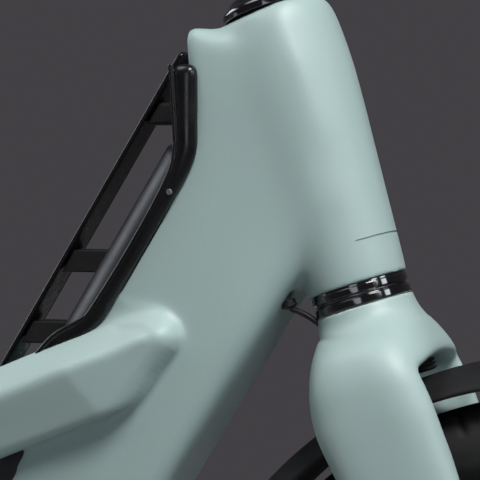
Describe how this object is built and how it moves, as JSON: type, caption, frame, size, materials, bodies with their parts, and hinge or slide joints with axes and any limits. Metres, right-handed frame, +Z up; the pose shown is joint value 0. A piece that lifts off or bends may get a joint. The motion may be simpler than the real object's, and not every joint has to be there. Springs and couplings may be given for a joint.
{
  "type": "longtail cargo bicycle",
  "caption": "Longtail electric cargo bicycle with a step-through frame, battery on the down tube, long rear rack, running boards and two-leg kickstand.",
  "frame": {"origin": "middle of the bicycle's footprint, on the ground", "axes": "+X forward, +Y to the rider's left, +Z up"},
  "size_m": [1.8851, 0.6846, 1.1016],
  "materials": {
    "frame_paint": "satin pale mint paint",
    "black_plastic": "satin moulded plastic",
    "gloss_black": "gloss anodised black",
    "black_metal": "satin black coating",
    "steel": "brushed",
    "rubber": "matt",
    "tyre_rubber": "matt",
    "saddle_cover": "matt synthetic cover over foam",
    "lens": "clear",
    "red_lens": "clear red"
  },
  "bodies": {
    "frame": {"head_tube": "frame_paint", "down_tube": "frame_paint", "keel_tube": "frame_paint", "seat_tube": "frame_paint", "side_tube_left": "frame_paint", "side_tube_right": "frame_paint", "chainstay_left": "frame_paint", "chainstay_right": "frame_paint", "motor_housing": "black_plastic", "rack_side_left": "frame_paint", "rack_side_right": "frame_paint", "rack_deck": "black_plastic", "running_board_left": "black_plastic", "running_board_right": "black_plastic", "rear_mudguard": "black_plastic", "tail_light": "red_lens", "battery_pack": "black_metal", "battery_housing": "black_plastic", "trim_left": "black_plastic", "trim_right": "black_plastic", "accessory_rail": "black_metal", "rail_foot_upper": "black_plastic", "rail_foot_middle": "black_plastic", "rail_foot_lower": "black_plastic", "upper_cup": "gloss_black", "lower_cup": "gloss_black", "lower_bearing": "steel", "cable_grommet": "rubber", "front_cable": "rubber", "rear_caliper": "black_metal", "drive_belt": "rubber", "seat_clamp": "black_metal"},
    "steering": {"fork": "frame_paint", "crown_race": "gloss_black", "cable_boot": "rubber", "front_mudguard": "black_plastic", "front_caliper": "black_metal", "stem": "black_metal", "handlebar": "black_metal", "grip_left": "rubber", "grip_right": "rubber", "display": "black_plastic", "front_light": "lens"},
    "front_wheel": {"front_tyre": "tyre_rubber", "front_rim": "black_metal", "front_disc": "steel"},
    "rear_wheel": {"rear_tyre": "tyre_rubber", "rear_rim": "black_metal", "rear_disc": "steel"},
    "sprocket": {"rear_sprocket": "steel"},
    "cranks": {"crankset": "black_metal"},
    "left_pedal": {"pedal_left": "black_plastic"},
    "right_pedal": {"pedal_right": "black_plastic"},
    "stand": {"kickstand": "black_metal"},
    "seat": {"seatpost": "black_metal", "saddle": "saddle_cover"},
    "clamp_lever": {"seat_clamp_lever": "black_metal"},
    "left_lever": {"brake_lever_left": "black_metal"},
    "right_lever": {"brake_lever_right": "black_metal"},
    "button": {"display_button": "rubber"}
  },
  "joints": [
    {"name": "steering_turn", "type": "hinge", "parent": "frame", "child": "steering", "pos_m": [0.5374, 0, 0.578], "axis": [-0.309, 0, 0.9511], "range_deg": [-55, 55], "deforming": ["front_cable"]},
    {"name": "front_wheel_spin", "type": "hinge", "parent": "steering", "child": "front_wheel", "pos_m": [0.68267, 0, 0.26034], "axis": [0, 1, 0], "continuous": true},
    {"name": "rear_wheel_spin", "type": "hinge", "parent": "frame", "child": "rear_wheel", "pos_m": [-0.6026, 0, 0.26], "axis": [0, 1, 0], "continuous": true},
    {"name": "crank_spin", "type": "hinge", "parent": "frame", "child": "cranks", "pos_m": [-0.0026, 0, 0.29], "axis": [0, 1, 0], "continuous": true},
    {"name": "sprocket_spin", "type": "hinge", "parent": "frame", "child": "sprocket", "pos_m": [-0.6026, 0, 0.26], "axis": [0, 1, 0], "continuous": true},
    {"name": "left_pedal_spin", "type": "hinge", "parent": "cranks", "child": "left_pedal", "pos_m": [0.1624, 0.144, 0.29], "axis": [0, 1, 0], "continuous": true},
    {"name": "right_pedal_spin", "type": "hinge", "parent": "cranks", "child": "right_pedal", "pos_m": [-0.1676, -0.144, 0.29], "axis": [0, 1, 0], "continuous": true},
    {"name": "stand_fold", "type": "hinge", "parent": "frame", "child": "stand", "pos_m": [-0.1776, 0, 0.206], "axis": [0, 1, 0], "range_deg": [0, 82]},
    {"name": "seat_height", "type": "slide", "parent": "frame", "child": "seat", "axis": [-0.342, 0, 0.9397], "range_m": [-0.045, 0.1]},
    {"name": "clamp_lever_swing", "type": "hinge", "parent": "frame", "child": "clamp_lever", "pos_m": [-0.13496, 0.019, 0.56743], "axis": [-0.342, 0, 0.9397], "range_deg": [0, 140]},
    {"name": "left_brake_pull", "type": "hinge", "parent": "steering", "child": "left_lever", "pos_m": [0.43682, 0.20529, 1.07946], "axis": [-0.309, 0, 0.9511], "range_deg": [0, 18], "stiffness_Nm_per_rad": 1, "springref_deg": -8.59},
    {"name": "right_brake_pull", "type": "hinge", "parent": "steering", "child": "right_lever", "pos_m": [0.43682, -0.20529, 1.07946], "axis": [0.309, 0, -0.9511], "range_deg": [0, 18], "stiffness_Nm_per_rad": 1, "springref_deg": -8.59},
    {"name": "button_press", "type": "slide", "parent": "steering", "child": "button", "axis": [0.342, 0, -0.9397], "range_m": [0, 0.0012], "stiffness_N_per_m": 400, "springref_m": -0.001}
  ],
  "couplings": [
    {"joint": "sprocket_spin", "follows": "crank_spin", "ratio": 1.4118}
  ]
}
